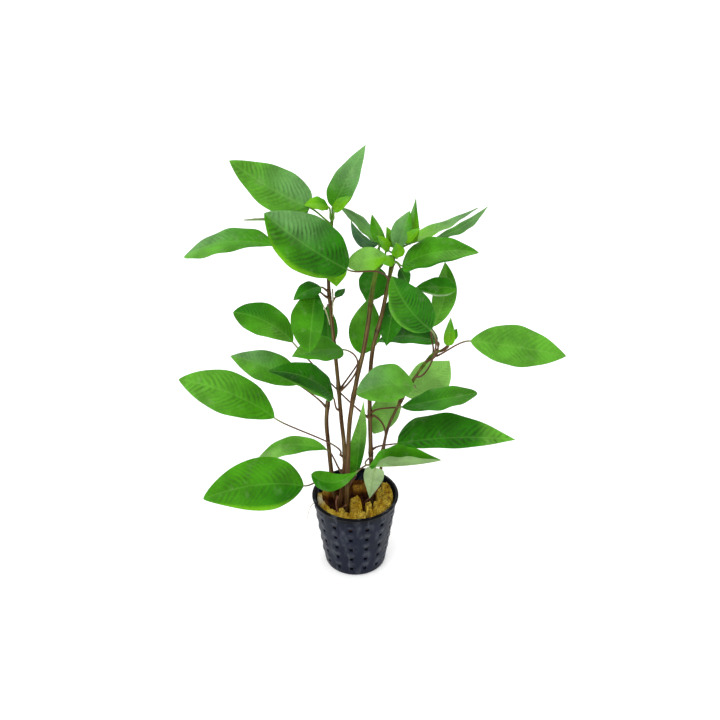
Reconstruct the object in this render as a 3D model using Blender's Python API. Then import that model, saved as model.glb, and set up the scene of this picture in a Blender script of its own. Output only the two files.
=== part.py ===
"""Potted hygrophila: a pond plant grown out of water, in a net pot filled with mineral wool.

Metres, +Z up, +X to the right, -Y to the front. The origin is the middle of the pot's base.
Every number in the tables below is in millimetres or degrees.
"""
import math

import bmesh
import bpy
from mathutils import Quaternion, Vector

MM = 0.001
GAP = 0.35                   # free room between pieces that would touch

# Pot
POT_HEIGHT = 52.0
RIM_RADIUS = 27.5            # outside of the lip
LIP_HEIGHT = 1.6
LIP_SLOPE = 0.4              # rise of the lip's underside
LIP_ROUNDING = 0.6
WALL_TOP_RADIUS = 26.6       # outside of the wall, just under the lip
BASE_RADIUS = 19.5
BASE_ROUNDING = 1.6
WALL = 1.2
FLOOR = 1.6
FLOOR_FILLET = 0.8
HOLE_COLUMNS = 15
HOLE_TURN = -96.5            # direction of the first column, a little left of the front
HOLE_SIZE = 2.3
HOLE_ROWS = (6.3, 15.1, 23.9, 32.7, 41.5)

# Mineral wool
WOOL_SIDES = 26
WOOL_TOP = 45.5
WOOL_BELLY = 20.0            # height of the ring between its foot and its top
WOOL_RINGS = (1.0, 0.88, 0.72, 0.52, 0.3)   # rings of its top, as shares of its radius
WOOL_CLEARANCE = 0.85        # from the pot's wall
WOOL_ROUNDING = 1.6          # drop of its top's edge
WOOL_GRAIN = 0.7
WOOL_GRAIN_TURNS = (0.9, 1.1)
# lumps and hollows of its top: x, y, reach, height
WOOL_LUMPS = (
    (16, -3, 10, 4.5), (0, -17, 8, 2.5), (12, -14, 8, 3.0), (-19, -6, 7, 2.5), (-7, -15, 7, -1.5),
    (-9, -4, 6, -5.0), (6, 2, 5, -4.0), (-4, 12, 12, -3.5), (14, 14, 9, -4.0), (-17, 8, 8, -3.0),
)
WELL_CLEARANCE = 0.45        # round a stem in the wool
WELL_DEPTH = 1.0             # below the stem's foot
WELL_RINGS = 4

# Stems: radius at the foot and at the top, then the route from inside the wool upwards
STEM_SIDES = 7
STEM_RING_SPACING = 16.0
STEMS = {
    "stem_left_cut": (1.5, 1.3, (
        (-12, 7, 28), (-14, 8, 46), (-16.5, 9, 79), (-17.8, 9, 101), (-16.6, 9, 116))),
    "stem_left_tall": (1.5, 0.9, (
        (-12, -2, 28), (-10, -3.5, 45), (-7, -2, 68), (-6.6, -1, 86), (-8.5, 0, 110), (-10.4, 0, 140),
        (-13.7, 0, 183), (-14.8, 0, 204), (-13.6, 0, 225), (-12, 0, 244))),
    "stem_middle": (1.45, 1.35, (
        (-6, -10, 28), (-5.5, -8.5, 46), (-4.6, -8, 75), (-3.2, -8, 112), (1, -7, 141), (4.9, -6, 160),
        (7.5, -5, 177), (10.5, -3, 202), (13, -2.3, 214))),
    "stem_right_tall": (1.5, 1.15, (
        (12, 4, 28), (11, 4, 46), (9.9, 5, 77), (9, 5, 111), (8.9, 5, 130), (10.5, 3, 156),
        (15.8, 1, 182), (20.4, 0, 210), (23.6, 0, 228))),
    "stem_right_thin": (1.1, 0.8, (
        (15, 8, 28), (15.6, 8, 48), (17.2, 9, 76), (21, 8, 99), (29.8, 6, 122), (34.8, 4, 134),
        (44.8, 0, 153.5), (50.5, -1, 158.5))),
}
# heights of the swollen joints on each stem
STEM_JOINTS = {
    "stem_left_cut": (60, 113),
    "stem_left_tall": (70, 82, 131, 160, 194, 222),
    "stem_middle": (66, 130, 190),
    "stem_right_tall": (80, 109, 170, 212),
    "stem_right_thin": (80, 118, 133, 146, 153),
}
JOINT_SWELLING = 0.4
JOINT_LENGTH = 3.0
JOINT_ROOM = 4.0             # no other ring is nearer to a joint than this

# Leaves. Each has the stem and the height it grows from, the foot and the tip of its blade, the
# blade's full width, its turn about its midrib (0 faces the front and a little up, right-handed
# towards the tip), and the rise of its middle. The rest are departures from the usual leaf.
LEAVES = {
    "leaf_crown_left": ("stem_left_tall", 239, (-24, -6, 250), (-65, -12, 279), 25.5, 10, -2,
                        {"widest": 0.37, "fullness": (0.42, 0.82), "sides": (0.95, 1.04)}),
    "leaf_crown_upright": ("stem_left_tall", 243, (-12, 2, 247), (6, 6, 281), 16, -15, 0,
                           {"widest": 0.32, "fullness": (0.65, 0.9)}),
    "leaf_crown_young": ("stem_left_tall", 242, (-14, -4, 249.5), (-27, -9, 252.5), 10, 30, 1.5, {}),
    "leaf_far_left_upper": ("stem_left_tall", 222, (-45, 8, 221), (-97, 10, 213), 21, 40, 7,
                            {"widest": (0.62, 0.36), "fullness": (0.7, 0.75), "sides": (1.15, 0.98)}),
    "leaf_edge_on": ("stem_left_tall", 228, (-39, 20, 232), (-64, 28, 228), 6, 88, 0, {}),
    "leaf_big_quilted": ("stem_right_tall", 206, (-4, -20, 220), (-46, -34, 259), 31.5, 5, -2,
                         {"widest": (0.53, 0.44), "fullness": (0.5, 0.75), "sides": (0.98, 1.06),
                          "stalk_by": (7, -20, 219)}),
    "leaf_behind_quilted": ("stem_left_tall", 217, (-11, -4, 216), (-10, -15, 207), 13, 0, 1, {}),
    "leaf_small_drooping": ("stem_left_tall", 198, (-19, -6, 202), (-34, -16, 199), 11, 20, 2, {}),
    "leaf_small_bud": ("stem_left_tall", 189, (-11, 3, 191), (-5.5, 9, 193.5), 5.5, -30, 0, {}),
    "leaf_hanging": ("stem_left_tall", 194, (-22, -6, 200), (-25, -34, 176), 21, 0, 3,
                     {"widest": 0.52, "fullness": (0.7, 0.65), "sides": (0.66, 1.14)}),
    "leaf_hanging_back": ("stem_left_tall", 184, (-16, 9, 182), (-16, 17, 148), 12, 0, 1,
                          {"widest": 0.5}),
    "leaf_arched_stalk": ("stem_left_tall", 131, (-7, -12, 165), (-35, -30, 171), 20, 35, 2,
                          {"stalk_by": (1.5, -11, 157)}),
    "leaf_left_middle": ("stem_right_tall", 108, (-37, 10, 157), (-72, 16, 174), 21, 15, 6,
                         {"widest": (0.6, 0.52), "fullness": (0.6, 0.72)}),
    "leaf_left_lower": ("stem_left_cut", 113, (-35, 14, 125), (-77, 26, 138), 21, 15, 4,
                        {"widest": (0.5, 0.4)}),
    "leaf_dark_left": ("stem_left_tall", 117, (-13, -4, 127), (-50, -16, 153), 20, 35, 6.5,
                       {"fullness": (0.65, 0.85)}),
    "leaf_far_left_lower": ("stem_left_tall", 83, (-49, -2, 111), (-104, -6, 141), 26, 15, 6,
                            {"widest": (0.55, 0.5), "fullness": (0.66, 0.8), "sides": (1.1, 0.98),
                             "stalk_by": (-24, -2, 97)}),
    "leaf_low_left_back": ("stem_left_tall", 70, (-18, 4, 83), (-61, 8, 74), 12.5, 35, 9,
                           {"widest": (0.6, 0.4), "sides": (1.5, 0.95)}),
    "leaf_low_left_big": ("stem_left_cut", 60, (-32, -12, 67), (-91, -34, 74), 34, 0, 7,
                          {"widest": 0.43, "fullness": (0.78, 0.78), "sides": (0.95, 1.0)}),
    "leaf_over_rim": ("stem_right_tall", 72, (1, -15, 80), (-26.5, -20, 82), 13, 20, -9.5,
                      {"widest": 0.66, "fullness": (0.5, 0.5)}),
    "leaf_between_stems": ("stem_middle", 62, (0.5, 3, 64.5), (5.2, 4, 120), 14.5, 0, 0,
                           {"widest": (0.2, 0.5), "fullness": (0.6, 1.2), "sides": (1.0, 0.58)}),
    "leaf_pale_hanging": ("stem_right_tall", 109, (12.5, -4, 75), (9, -12, 57), 13, 180, 0,
                          {"widest": 0.26, "fullness": (0.45, 1.0), "stalk_by": (18, 0, 92)}),
    "leaf_folded_right": ("stem_right_tall", 78, (9, -20, 88.5), (51, -28, 98.5), 26, -52, -2,
                          {"fold": 66}),
    "leaf_right_big": ("stem_right_tall", 84, (26, 0, 90.5), (98, -6, 97.5), 27, -38, 4,
                       {"widest": (0.35, 0.48), "fullness": (0.45, 1.0), "twist": 20,
                        "sides": (1.25, 0.6)}),
    "leaf_right_lower": ("stem_right_tall", 112, (28, -2, 119), (74, 4, 125), 22, -50, 0,
                         {"widest": (0.55, 0.48), "fullness": (0.7, 0.58), "sides": (0.92, 1.08)}),
    "leaf_pale_right": ("stem_right_thin", 131, (29, 14, 119), (59, 34, 130), 25, 0, 0,
                        {"bend": (2, 0, -3), "widest": 0.5}),
    "leaf_pale_middle": ("stem_right_thin", 133, (35, -8, 137), (1, -24, 142), 25.5, 20, 5,
                         {"widest": (0.55, 0.45), "fullness": (0.68, 0.7), "sides": (0.92, 1.0)}),
    "leaf_pale_lower": ("stem_right_thin", 116, (26, 18, 118.5), (11.5, 12, 89.5), 18, 0, 0,
                        {"widest": 0.5, "fullness": (0.6, 0.8)}),
    "leaf_far_right": ("stem_right_thin", 156, (67, -4, 166), (123, -6, 157), 26, -15, 1,
                       {"widest": 0.45, "fullness": (0.85, 0.85), "stalk_by": (57, -7, 164)}),
    "leaf_tip_bright": ("stem_right_thin", 158, (55, 1, 160), (55.5, 2, 178.5), 7, 0, 0,
                        {"widest": 0.3}),
    "leaf_tip_side": ("stem_right_thin", 156, (57, 7, 160), (60, 9, 167), 5, 0, 0, {}),
    "leaf_dark_behind": ("stem_right_thin", 149, (49, 9, 158), (13, 25, 148), 18, 40, 5,
                         {"fullness": (0.6, 0.9), "sides": (0.8, 1.3)}),
    "leaf_dark_quilted": ("stem_right_thin", 139, (43, -16, 180), (20, -30, 221), 25, 0, -3,
                          {"widest": (0.5, 0.42), "fullness": (0.6, 0.8), "sides": (0.84, 0.96)}),
    "leaf_back_tall": ("stem_right_thin", 152, (45, 2, 172), (51, 6, 212), 14, 0, 0,
                       {"bend": (3.5, 0, 0), "widest": 0.5}),
    "leaf_back_curled": ("stem_right_thin", 151, (34, -6, 201.5), (57, -8, 202), 12, -15, 1,
                         {"stalk_by": (41, -6, 180), "widest": 0.6, "fullness": (0.6, 0.65)}),
    "leaf_crown_right_big": ("stem_right_tall", 216, (26.5, -6, 215.5), (67, -18, 229), 22.5, -35, 5,
                             {"widest": (0.36, 0.42), "fullness": (0.5, 0.82)}),
    "leaf_crown_right_narrow": ("stem_right_tall", 226, (27, 4, 224.5), (71, 34, 233), 17, -60, -2,
                                {"widest": 0.3, "fullness": (0.5, 1.05), "sides": (1.0, 1.2)}),
    "leaf_crown_right_back": ("stem_right_tall", 221, (47, 21, 220), (78, 45, 229), 13, -45, -4,
                              {"sides": (0.6, 1.0)}),
    "leaf_crown_spear": ("stem_right_tall", 227, (31, -0.5, 226.5), (33.5, 0, 255), 8, 0, 0,
                         {"widest": 0.25, "fullness": (0.5, 1.4)}),
    "leaf_crown_grey": ("stem_right_tall", 221, (23.5, -5, 224), (30, -3, 247), 14, 10, 0,
                        {"widest": 0.5, "sides": (1.0, 0.6)}),
    "leaf_crown_middle_spear": ("stem_middle", 213, (17, 1, 222), (9.5, 2, 243), 9, 0, 0,
                                {"widest": (0.5, 0.4), "sides": (1.0, 0.55)}),
    "leaf_crown_middle_left": ("stem_middle", 212, (13, 8, 223), (-9, 8, 245), 12, 45, 2,
                               {"sides": (1.15, 0.8)}),
    "leaf_crown_middle_blue": ("stem_middle", 213, (13, -2, 226.5), (-2, -6, 242.5), 12, -45, 0,
                               {"fold": 30, "bend": (-1, 0, -3), "sides": (0.8, 0.6),
                                "stalk_by": (11.5, 0, 220)}),
    "leaf_crown_middle_pale": ("stem_right_tall", 219, (18, -7.5, 222), (-4, -11.5, 218), 14, 0, 1,
                               {"widest": 0.5, "fullness": (0.8, 0.6)}),
    "leaf_round_behind": ("stem_middle", 209, (14, 6, 208), (7, 12, 183), 18, 0, 0, {}),
    "leaf_behind_stems": ("stem_left_tall", 131, (4, 12, 148), (9, 26, 179), 20, 0, 0, {}),
    "leaf_behind_right": ("stem_right_tall", 203, (23, 6, 188), (18.5, 6.5, 156.5), 14.5, 0, 0, {}),
    "leaf_small_dark": ("stem_right_tall", 213, (26, 8, 207), (31, 12, 194), 8, 0, 0, {}),
}
FRONT_SIDE = Vector((0, -0.82, 0.57))   # the way a leaf with no turn faces
SKYWARD = Vector((0, -0.3, 1.0))        # the way a leaf's back rises
STALK_RADIUS = 0.75
STALK_FLATNESS = 0.87                   # its width and its shoulders against a round stalk
STALK_LIFT = 0.9                        # how far it sets off along the stem, against outwards
STALK_HANDLE = 0.27                     # how soon it bends, as a share of its reach
STALK_RING_SPACING = 16.0
BLADE_EDGE = 0.25                       # half the thickness at the edge
BLADE_RIB = 0.4                         # half the thickness at the midrib
BLADE_STATIONS = (0.0, 0.1, 0.24, 0.42, 0.6, 0.78, 0.92, 1.0)
TIP_WIDTH = 0.3                         # half the width at the tip
FOLDED_ROOM = 1.2                       # keeps the two halves of a folded tip apart
RIB_END = 0.25                          # where the thick foot of the midrib ends, along the blade
FOLD_END = 0.17                         # where the blade is fully folded
USUAL_FOLD = 12.0
USUAL_WIDEST = 0.42
USUAL_FULLNESS = (0.7, 0.95)            # of its foot and of its tip
USUAL_SIDES = (1.0, 1.0)                # width of its left and of its right half
STRAIGHT = (0, 0, 0)
STEP = 0.01                             # a small step along a curve, to find its direction

# Colour, roughness
PLASTIC = ((0.028, 0.033, 0.055), 0.38)
WOOL = ((0.55, 0.42, 0.12), 0.95)
STEM_SKIN = ((0.16, 0.055, 0.05), 0.5)
LEAF_SKIN = ((0.09, 0.27, 0.035), 0.42)


def clear_scene():
    for thing in list(bpy.data.objects):
        bpy.data.objects.remove(thing, do_unlink=True)


def material(name, look):
    colour, roughness = look
    made = bpy.data.materials.get(name) or bpy.data.materials.new(name)
    made.use_nodes = True
    shader = made.node_tree.nodes["Principled BSDF"]
    shader.inputs["Base Color"].default_value = (*colour, 1)
    shader.inputs["Roughness"].default_value = roughness
    shader.inputs["Metallic"].default_value = 0
    return made


def add_object(name, points, faces, look, smooth=True):
    """A closed mesh of points in millimetres, with its faces turned outwards."""
    mesh = bpy.data.meshes.new(name)
    mesh.from_pydata([Vector(p) * MM for p in points], [], faces)
    shell = bmesh.new()
    shell.from_mesh(mesh)
    bmesh.ops.recalc_face_normals(shell, faces=shell.faces)
    shell.to_mesh(mesh)
    shell.free()
    if smooth:
        mesh.shade_smooth()
        mesh.set_sharp_from_angle(angle=math.radians(40))
    made = bpy.data.objects.new(name, mesh)
    bpy.context.scene.collection.objects.link(made)
    made.data.materials.append(material(name, look))
    return made


def skin(rings, matched=False):
    """Points and faces of a closed body through rings of equal length. Where matched is set, the
    walls of its upper and of its lower half are split along the same lines, so that a thin twisted
    blade keeps its thickness."""
    sides = len(rings[0])
    points = [p for ring in rings for p in ring]
    faces = [tuple(reversed(range(sides)))]
    for r in range(len(rings) - 1):
        low, high = r * sides, (r + 1) * sides
        for i in range(sides):
            j = (i + 1) % sides
            a, b, c, d = low + i, low + j, high + j, high + i
            if not matched:
                faces.append((a, b, c, d))
            elif i < sides // 2:
                faces += [(a, b, c), (a, c, d)]
            else:
                faces += [(a, b, d), (b, c, d)]
    faces.append(tuple(range(len(points) - sides, len(points))))
    return points, faces


def bezier(a, b, c, d, t):
    s = 1 - t
    return a * s ** 3 + b * (3 * s * s * t) + c * (3 * s * t * t) + d * t ** 3


# Pot

def wall_radius(z):
    return BASE_RADIUS + (WALL_TOP_RADIUS - BASE_RADIUS) * z / (POT_HEIGHT - LIP_HEIGHT)


def pot_angles():
    """Two directions for each column of holes, one at either side of the hole."""
    half = math.degrees(HOLE_SIZE / 2 / wall_radius(POT_HEIGHT / 2))
    for column in range(HOLE_COLUMNS):
        middle = HOLE_TURN + 360 / HOLE_COLUMNS * column
        yield math.radians(middle - half)
        yield math.radians(middle + half)


def ring_at(radius, z, angles):
    return [Vector((radius * math.cos(a), radius * math.sin(a), z)) for a in angles]


def build_pot():
    """Rings of a grid up the outside and down the inside, with each hole left out of both."""
    angles = list(pot_angles())
    sides = len(angles)
    levels = [z + side * HOLE_SIZE / 2 for z in HOLE_ROWS for side in (-1, 1)]
    lip_foot = POT_HEIGHT - LIP_HEIGHT
    outside = [(BASE_RADIUS - BASE_ROUNDING, 0), (wall_radius(BASE_ROUNDING), BASE_ROUNDING)]
    first_outer = len(outside)
    outside += [(wall_radius(z), z) for z in levels]
    outside += [(wall_radius(lip_foot), lip_foot), (RIM_RADIUS, lip_foot + LIP_SLOPE)]
    outside += [(RIM_RADIUS, POT_HEIGHT - LIP_ROUNDING), (RIM_RADIUS - LIP_ROUNDING, POT_HEIGHT)]
    inside = [(wall_radius(POT_HEIGHT) - WALL, POT_HEIGHT)]
    inside += [(wall_radius(z) - WALL, z) for z in reversed(levels)]
    inside += [(wall_radius(FLOOR) - WALL - FLOOR_FILLET, FLOOR)]
    points, faces = skin([ring_at(radius, z, angles) for radius, z in outside + inside])
    last_inner = len(outside) + len(inside) - 2
    gone = set()
    for row in range(len(HOLE_ROWS)):
        out_low = first_outer + 2 * row
        in_low = last_inner - 2 * row
        for i in range(0, sides, 2):
            out_ring = [out_low * sides + i, out_low * sides + i + 1,
                        (out_low + 1) * sides + i + 1, (out_low + 1) * sides + i]
            in_ring = [in_low * sides + i, in_low * sides + i + 1,
                       (in_low - 1) * sides + i + 1, (in_low - 1) * sides + i]
            gone.update({frozenset(out_ring), frozenset(in_ring)})
            for k in range(4):
                m = (k + 1) % 4
                faces.append((out_ring[k], out_ring[m], in_ring[m], in_ring[k]))
    faces = [f for f in faces if frozenset(f) not in gone]
    return add_object("net_pot", points, faces, PLASTIC)


# Stems

def smooth_route(points, z):
    """The point at height z on a smooth curve through the given points."""
    slopes = []
    for i in range(len(points)):
        a = Vector(points[max(i - 1, 0)])
        b = Vector(points[min(i + 1, len(points) - 1)])
        slopes.append((b - a) / (b.z - a.z))
    z = min(max(z, points[0][2]), points[-1][2])
    i = max(k for k in range(len(points) - 1) if points[k][2] <= z)
    a, b = Vector(points[i]), Vector(points[i + 1])
    rise = b.z - a.z
    return bezier(a, a + slopes[i] * rise / 3, b - slopes[i + 1] * rise / 3, b, (z - a.z) / rise)


def stem_radius(name, z):
    foot, top, route = STEMS[name]
    along = (z - route[0][2]) / (route[-1][2] - route[0][2])
    swelling = sum(math.exp(-((z - joint) / JOINT_LENGTH) ** 2) for joint in STEM_JOINTS[name])
    return foot + (top - foot) * along + JOINT_SWELLING * min(swelling, 1)


def ring_heights(name):
    """Heights of a stem's rings: its two ends, its joints, and even steps where no joint is near."""
    route, joints = STEMS[name][2], STEM_JOINTS[name]
    low, high = route[0][2], route[-1][2]
    count = round((high - low) / STEM_RING_SPACING)
    steps = [low + (high - low) * i / count for i in range(1, count)]
    clear = [z for z in steps if all(abs(z - joint) >= JOINT_ROOM for joint in joints)]
    return sorted([low, high] + clear + [z for z in joints if z < high - JOINT_LENGTH])


def stem_rings(name, extra=0.0):
    route = STEMS[name][2]
    rings = []
    for z in ring_heights(name):
        centre = smooth_route(route, z)
        ahead = smooth_route(route, z + 1) - smooth_route(route, z - 1)
        across = Vector((0, 1, 0)).cross(ahead).normalized()
        back = ahead.cross(across).normalized()
        radius = stem_radius(name, z) + extra
        ring = []
        for i in range(STEM_SIDES):
            a = 2 * math.pi * i / STEM_SIDES
            ring.append(centre + across * (radius * math.cos(a)) + back * (radius * math.sin(a)))
        rings.append(ring)
    return rings


def build_stem(name):
    points, faces = skin(stem_rings(name))
    return add_object(name, points, faces, STEM_SKIN)


# Mineral wool

def wool_height(x, y):
    height = WOOL_TOP
    for lump_x, lump_y, reach, rise in WOOL_LUMPS:
        height += rise * math.exp(-((x - lump_x) ** 2 + (y - lump_y) ** 2) / reach ** 2)
    turns_x, turns_y = WOOL_GRAIN_TURNS
    return height + WOOL_GRAIN * math.sin(turns_x * x + 1) * math.cos(turns_y * y)


def wool_side(z):
    return wall_radius(z) - WALL - WOOL_CLEARANCE


def build_wool():
    """A plug with a lumpy top, closed by a fan of triangles in its middle."""
    angles = [2 * math.pi * i / WOOL_SIDES for i in range(WOOL_SIDES)]
    rings = [ring_at(wool_side(FLOOR) - FLOOR_FILLET, FLOOR + GAP, angles)]
    rings.append(ring_at(wool_side(WOOL_BELLY), WOOL_BELLY, angles))
    for share in WOOL_RINGS:
        drop = WOOL_ROUNDING if share == 1 else 0
        ring = ring_at(wool_side(WOOL_TOP) * share - drop / 2, 0, angles)
        for p in ring:
            p.z = wool_height(p.x, p.y) - drop
        rings.append(ring)
    points, faces = skin(rings)
    faces.pop()
    top = len(points)
    points.append(Vector((0, 0, wool_height(0, 0))))
    last = top - WOOL_SIDES
    faces += [(last + i, last + (i + 1) % WOOL_SIDES, top) for i in range(WOOL_SIDES)]
    wool = add_object("mineral_wool", points, faces, WOOL, smooth=False)
    cut_stem_wells(wool)
    return wool


def cut_stem_wells(wool):
    """A well around each stem, a little wider than the stem."""
    for name in STEMS:
        rings = stem_rings(name, extra=WELL_CLEARANCE)[:WELL_RINGS]
        foot = [p - Vector((0, 0, WELL_DEPTH)) for p in rings[0]]
        points, faces = skin([foot] + rings)
        cutter = add_object(name + "_well", points, faces, WOOL, smooth=False)
        cutter.hide_render = True
        cutter.display_type = "WIRE"
        cut = wool.modifiers.new(name + "_well", "BOOLEAN")
        cut.operation = "DIFFERENCE"
        cut.solver = "EXACT"
        cut.object = cutter


# Leaves

def half_width(t, width, widest, fullness):
    """Half the blade's width at t of the way from its foot to its tip, blunter where fullness is low."""
    power = math.log(0.5) / math.log(widest)
    at_foot, at_tip = fullness
    blend = min(1, max(0, t / widest - 0.5))
    return width / 2 * math.sin(math.pi * t ** power) ** (at_foot + (at_tip - at_foot) * blend)


def blade_frame(foot, tip, turn):
    """The blade's direction and the direction that its upper face looks in."""
    along = (tip - foot).normalized()
    face = (FRONT_SIDE - along * FRONT_SIDE.dot(along)).normalized()
    return along, Quaternion(along, math.radians(turn)) @ face


def blade_curve(foot, tip, rise, bend):
    """A function for the midrib's points, and its direction at the foot."""
    along = (tip - foot).normalized()
    up = (SKYWARD - along * SKYWARD.dot(along)).normalized()
    away = up * rise + Vector(bend)

    def point(t):
        return foot.lerp(tip, t) + away * (4 * t * (1 - t))

    return point, ((tip - foot) + away * 4).normalized()


def stalk_start(stem, height, goal):
    """Where a stalk leaves its stem on the way to its goal, and the direction it sets off in."""
    route = STEMS[stem][2]
    axis = smooth_route(route, height)
    stem_way = (smooth_route(route, height + 0.5) - smooth_route(route, height - 0.5)).normalized()
    flat = goal - axis
    flat.z = 0
    out = (flat - stem_way * flat.dot(stem_way)).normalized()
    start = axis + out * (stem_radius(stem, height) + GAP + STALK_RADIUS)
    return start, (out + stem_way * STALK_LIFT).normalized()


def stalk_curve(start, outward, foot, arrive, stalk_by):
    """A function for the stalk's points, from the stem to the blade's foot."""
    reach = (foot - start).length
    late = foot - arrive * (reach * STALK_HANDLE)
    early = start + outward * (reach * STALK_HANDLE)
    if stalk_by:
        early = (Vector(stalk_by) * 8 - start - foot) / 3 - late
    return lambda t: bezier(start, early, late, foot, t)


def section(centre, ahead, face, halves, edge, rib, fold):
    """Six points round the leaf: three above and three below."""
    left_half, right_half = halves
    side = ahead.cross(face).normalized()
    face = side.cross(ahead).normalized()
    lean = math.radians(fold)
    right = side * math.cos(lean) + face * math.sin(lean)
    left = -side * math.cos(lean) + face * math.sin(lean)
    right_up = face * math.cos(lean) - side * math.sin(lean)
    left_up = face * math.cos(lean) + side * math.sin(lean)
    return [
        centre + right * right_half + right_up * edge, centre + face * rib,
        centre + left * left_half + left_up * edge, centre + left * left_half - left_up * edge,
        centre - face * rib, centre + right * right_half - right_up * edge,
    ]


def carried_faces(points, last_face):
    """The upper face's direction at each point, carried back from the last one without twisting."""
    faces = [last_face]
    for i in range(len(points) - 2, -1, -1):
        ahead = (points[i + 1] - points[i]).normalized()
        face = faces[0] - ahead * faces[0].dot(ahead)
        faces.insert(0, face.normalized())
    return faces


def leaf_rings(stem, height, foot, tip, width, turn, rise, special):
    """Rings from the stem along the stalk, then from the blade's foot to its tip."""
    foot, tip = Vector(foot), Vector(tip)
    _, face = blade_frame(foot, tip, turn)
    midrib, arrive = blade_curve(foot, tip, rise, special.get("bend", STRAIGHT))
    stalk_by = special.get("stalk_by")
    start, outward = stalk_start(stem, height, Vector(stalk_by) if stalk_by else foot)
    stalk = stalk_curve(start, outward, foot, arrive, stalk_by)
    count = 2 + round((foot - start).length / STALK_RING_SPACING)
    stalk_points = [stalk(i / count) for i in range(count + 1)]
    stalk_faces = carried_faces(stalk_points, face)
    rings = []
    for i in range(count):
        ahead = stalk(i / count + STEP) - stalk(i / count)
        rings.append(section(stalk_points[i], ahead.normalized(), stalk_faces[i],
                             [STALK_RADIUS * STALK_FLATNESS] * 2, STALK_RADIUS / 2, STALK_RADIUS, 0))
    fold = special.get("fold", USUAL_FOLD)
    widest = special.get("widest", USUAL_WIDEST)
    widest = widest if isinstance(widest, tuple) else (widest, widest)
    fullness = special.get("fullness", USUAL_FULLNESS)
    sides = special.get("sides", USUAL_SIDES)
    tip_width = max(TIP_WIDTH, FOLDED_ROOM * BLADE_EDGE * math.tan(math.radians(fold)))
    for t in BLADE_STATIONS:
        ahead = (midrib(min(t + STEP, 1)) - midrib(max(t - STEP, 0))).normalized()
        turned = Quaternion(ahead, math.radians(special.get("twist", 0) * t)) @ face
        least = STALK_RADIUS if t < 0.5 else tip_width
        halves = [max(half_width(t, width * share, place, fullness), least)
                  for share, place in zip(sides, widest)]
        rib = BLADE_RIB + (STALK_RADIUS - BLADE_RIB) * max(0, 1 - t / RIB_END)
        folded = fold * min(1, t / FOLD_END)
        rings.append(section(midrib(t), ahead, turned, halves, BLADE_EDGE, rib, folded))
    return rings


def build_leaf(name):
    points, faces = skin(leaf_rings(*LEAVES[name]), matched=True)
    return add_object(name, points, faces, LEAF_SKIN)


def main():
    clear_scene()
    build_pot()
    build_wool()
    for name in STEMS:
        build_stem(name)
    for name in LEAVES:
        build_leaf(name)


main()
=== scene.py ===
"""Potted hygrophila: its looks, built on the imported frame.

Lengths in the tables are millimetres and angles are degrees, in the frame of the solids.
"""
import math
import random

import bpy
import numpy as np
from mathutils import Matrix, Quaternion, Vector, noise


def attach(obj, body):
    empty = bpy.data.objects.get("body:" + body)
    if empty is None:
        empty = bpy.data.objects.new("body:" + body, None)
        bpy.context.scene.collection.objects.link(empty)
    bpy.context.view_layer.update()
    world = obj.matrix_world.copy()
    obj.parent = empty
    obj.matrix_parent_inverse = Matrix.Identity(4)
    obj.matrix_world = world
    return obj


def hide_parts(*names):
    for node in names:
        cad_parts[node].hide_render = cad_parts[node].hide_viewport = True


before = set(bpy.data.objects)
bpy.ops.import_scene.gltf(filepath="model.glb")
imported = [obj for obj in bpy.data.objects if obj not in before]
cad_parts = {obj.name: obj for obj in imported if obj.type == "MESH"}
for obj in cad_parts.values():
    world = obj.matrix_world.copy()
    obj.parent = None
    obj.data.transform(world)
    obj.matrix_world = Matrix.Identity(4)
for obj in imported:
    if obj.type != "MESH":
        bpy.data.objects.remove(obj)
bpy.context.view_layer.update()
MM = 0.001

# The pot, as in the solids
POT_HEIGHT, RIM_RADIUS, WALL_TOP_RADIUS, BASE_RADIUS = 52.0, 27.5, 26.6, 19.5
LIP_HEIGHT, BASE_ROUNDING, WALL, FLOOR = 1.6, 1.6, 1.2, 1.6
HOLE_COLUMNS, HOLE_TURN, HOLE_SIZE = 15, -96.5, 2.3
HOLE_ROWS = (6.3, 15.1, 23.9, 32.7, 41.5)
WOOL_TOP, GAP = 45.5, 0.35

# The stems, as in the solids: radius at the foot and the top, and route
CUT, LEFT, MIDDLE, RIGHT, THIN = ("stem_left_cut", "stem_left_tall", "stem_middle",
                                  "stem_right_tall", "stem_right_thin")
STEMS = {
    CUT: (1.5, 1.3, (
        (-12, 7, 28), (-14, 8, 46), (-16.5, 9, 79), (-17.8, 9, 101), (-16.6, 9, 116))),
    LEFT: (1.5, 0.9, (
        (-12, -2, 28), (-10, -3.5, 45), (-7, -2, 68), (-6.6, -1, 86), (-8.5, 0, 110), (-10.4, 0, 140),
        (-13.7, 0, 183), (-14.8, 0, 204), (-13.6, 0, 225), (-12, 0, 244))),
    MIDDLE: (1.45, 1.35, (
        (-6, -10, 28), (-5.5, -8.5, 46), (-4.6, -8, 75), (-3.2, -8, 112), (1, -7, 141), (4.9, -6, 160),
        (7.5, -5, 177), (10.5, -3, 202), (13, -2.3, 214))),
    RIGHT: (1.5, 1.15, (
        (12, 4, 28), (11, 4, 46), (9.9, 5, 77), (9, 5, 111), (8.9, 5, 130), (10.5, 3, 156),
        (15.8, 1, 182), (20.4, 0, 210), (23.6, 0, 228))),
    THIN: (1.1, 0.8, (
        (15, 8, 28), (15.6, 8, 48), (17.2, 9, 76), (21, 8, 99), (29.8, 6, 122), (34.8, 4, 134),
        (44.8, 0, 153.5), (50.5, -1, 158.5))),
}
STEM_JOINTS = {
    CUT: (60, 113),
    LEFT: (70, 82, 131, 160, 194, 222),
    MIDDLE: (66, 130, 190),
    RIGHT: (80, 109, 170, 212),
    THIN: (80, 118, 133, 146, 153),
}
JOINT_SWELLING, JOINT_LENGTH = 0.4, 3.0

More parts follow.
